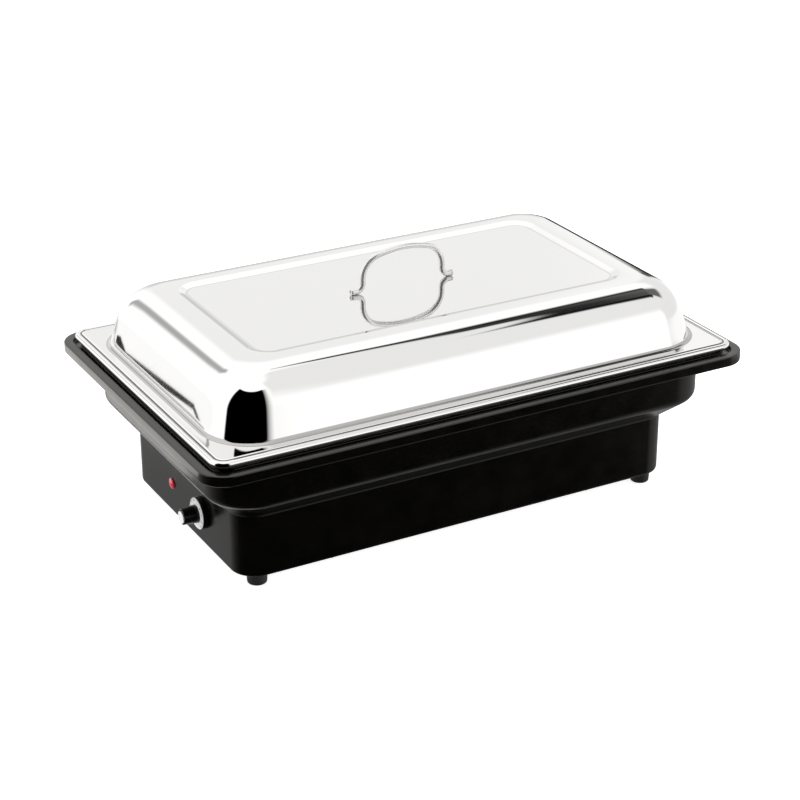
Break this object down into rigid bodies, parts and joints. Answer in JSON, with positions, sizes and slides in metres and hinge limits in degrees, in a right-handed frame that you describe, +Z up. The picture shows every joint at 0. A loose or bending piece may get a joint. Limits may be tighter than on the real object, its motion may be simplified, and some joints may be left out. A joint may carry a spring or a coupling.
{
  "type": "electric buffet server",
  "caption": "Electric buffet server: black moulded base with water bath, heater, thermostat knob and indicator lamp, a full-size food pan and a polished domed lid with a wire handle.",
  "frame": {"origin": "bottom centre: on the table, under the middle of the rim", "axes": "+X along the long side, away from the control wall; +Y towards the rear wall that holds the mains inlet; +Z up"},
  "size_m": [0.568, 0.363, 0.254],
  "materials": {
    "black_plastic": "satin moulded, fine grain",
    "black_rubber": "matt",
    "grey_silicone": "matt, translucent grey",
    "satin_steel": "satin drawn stainless steel",
    "polished_steel": "mirror-polished stainless steel",
    "polished_wire": "polished stainless wire",
    "zinc_steel": "zinc plated",
    "knob_black": "semi-gloss",
    "dial_silver": "satin, printed marks",
    "terminal_brass": "plain",
    "red_lens": "translucent red",
    "inlet_black": "moulded",
    "sheath_steel": "heat-tinted",
    "white_ceramic": "glazed",
    "bright_aluminium": "mill finish",
    "mineral_mat": "felted",
    "cutout_black": "phenolic",
    "white_polyamide": "moulded",
    "lead_brown": "insulation",
    "lead_blue": "insulation",
    "lead_green": "insulation with a yellow stripe"
  },
  "bodies": {
    "base": {"base_housing": "black_plastic", "base_plate": "zinc_steel", "foot_front_left": "black_rubber", "foot_front_right": "black_rubber", "foot_rear_left": "black_rubber", "foot_rear_right": "black_rubber", "foot_screws": "zinc_steel", "foot_nuts": "zinc_steel", "plate_screws": "zinc_steel", "rim_seal": "grey_silicone", "water_bath": "satin_steel", "thermostat_body": "zinc_steel", "thermostat_screws": "zinc_steel", "thermostat_tabs": "terminal_brass", "thermostat_capillary": "terminal_brass", "thermostat_bulb": "terminal_brass", "bulb_clips": "zinc_steel", "indicator_lens": "red_lens", "indicator_body": "knob_black", "indicator_nut": "knob_black", "indicator_tabs": "terminal_brass", "mains_inlet": "inlet_black", "inlet_pins": "terminal_brass", "inlet_tabs": "terminal_brass", "inlet_screws": "zinc_steel", "heating_element": "sheath_steel", "element_insulators": "white_ceramic", "element_terminals": "terminal_brass", "heater_straps": "zinc_steel", "heater_studs": "zinc_steel", "heater_nuts": "zinc_steel", "heat_shield": "bright_aluminium", "insulation_mat": "mineral_mat", "shield_studs": "zinc_steel", "shield_spacers": "zinc_steel", "shield_nuts": "zinc_steel", "thermal_cutout": "cutout_black", "cutout_tabs": "terminal_brass", "terminal_block": "white_polyamide", "terminal_screws": "zinc_steel", "earth_stud": "zinc_steel", "earth_nut": "zinc_steel", "lead_live": "lead_brown", "lead_neutral": "lead_blue", "lead_earth": "lead_green", "lead_cutout_feed": "lead_brown", "lead_cutout_return": "lead_brown", "lead_element": "lead_blue", "lead_lamp_neutral": "lead_blue", "lead_lamp_live": "lead_brown"},
    "knob": {"dial_skirt": "knob_black", "dial_ring": "dial_silver", "knob_grip": "knob_black", "knob_cap": "dial_silver", "thermostat_spindle": "zinc_steel"},
    "pan": {"food_pan": "satin_steel"},
    "lid": {"lid_shell": "polished_steel", "lid_handle": "polished_wire"}
  },
  "joints": [
    {"name": "knob_turn", "type": "hinge", "parent": "base", "child": "knob", "pos_m": [-0.2375, -0.04, 0.044], "axis": [1, 0, 0], "range_deg": [0, 270]},
    {"name": "pan_lift", "type": "slide", "parent": "base", "child": "pan", "axis": [0, 0, 1], "range_m": [0, 0.1]},
    {"name": "lid_lift", "type": "slide", "parent": "pan", "child": "lid", "axis": [0, 0, 1], "range_m": [0, 0.1]}
  ]
}
